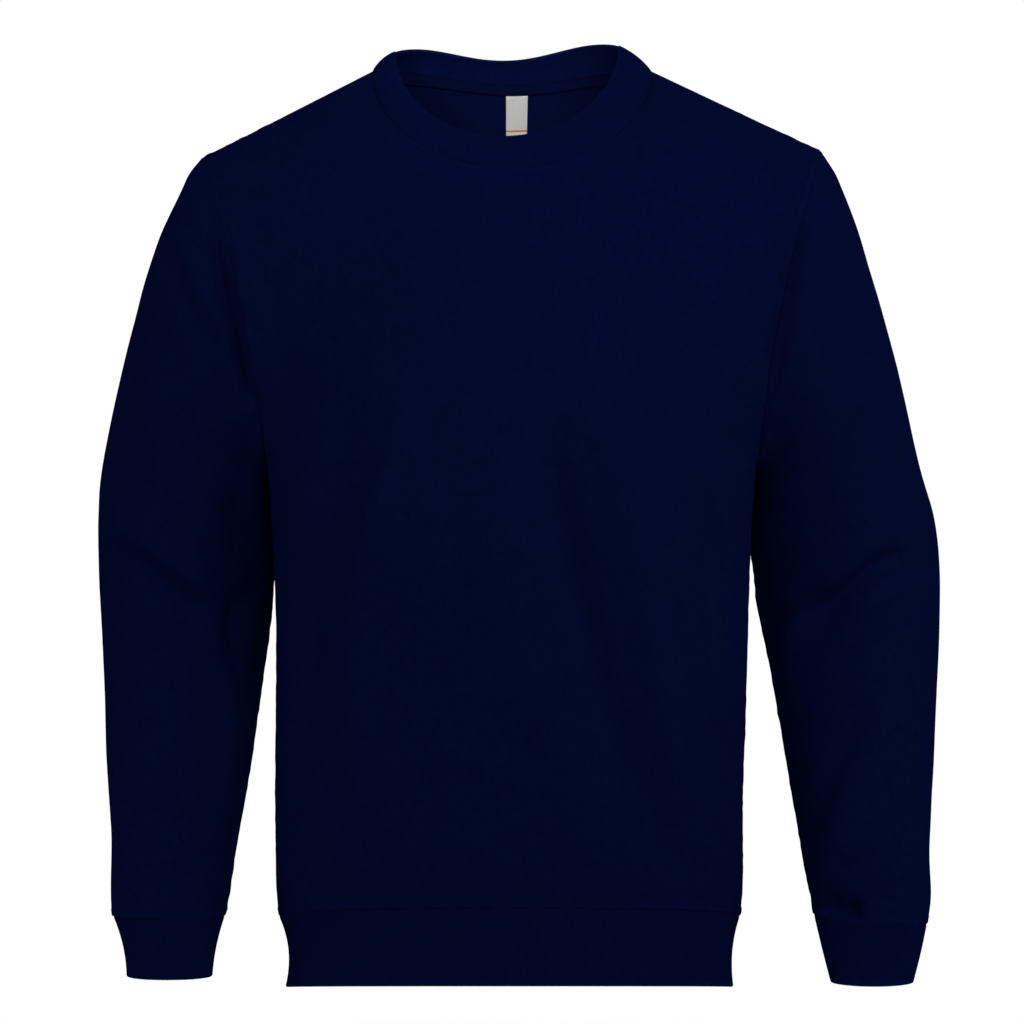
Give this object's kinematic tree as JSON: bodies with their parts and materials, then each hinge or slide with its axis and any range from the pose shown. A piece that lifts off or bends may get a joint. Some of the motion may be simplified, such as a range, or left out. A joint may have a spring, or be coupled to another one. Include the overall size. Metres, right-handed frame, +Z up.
{
  "type": "crewneck sweatshirt",
  "caption": "Adult long-sleeved crewneck sweatshirt in brushed fleece with ribbed neckband, cuffs and hem, held in its worn shape and empty inside.",
  "frame": {"origin": "the middle between the shoulders, just below the level of the neck points, where the wearer's shoulders hold the garment up", "axes": "+Z up along the body, -Y out of the front, +X towards the wearer's left arm"},
  "size_m": [0.6632, 0.259, 0.7364],
  "materials": {
    "fleece": "matt brushed cotton fleece, very dark navy",
    "rib": "matt cotton rib knit, very dark navy",
    "tape": "plain jersey tape, very dark navy",
    "label": "woven, light grey with two thin orange bars"
  },
  "bodies": {
    "root": {"front_panel": "fleece", "back_panel": "fleece", "sleeve_right": "fleece", "sleeve_left": "fleece", "neckband": "rib", "hem_band": "rib", "cuff_right": "rib", "cuff_left": "rib", "neck_tape": "tape", "neck_label": "label"}
  },
  "joints": []
}
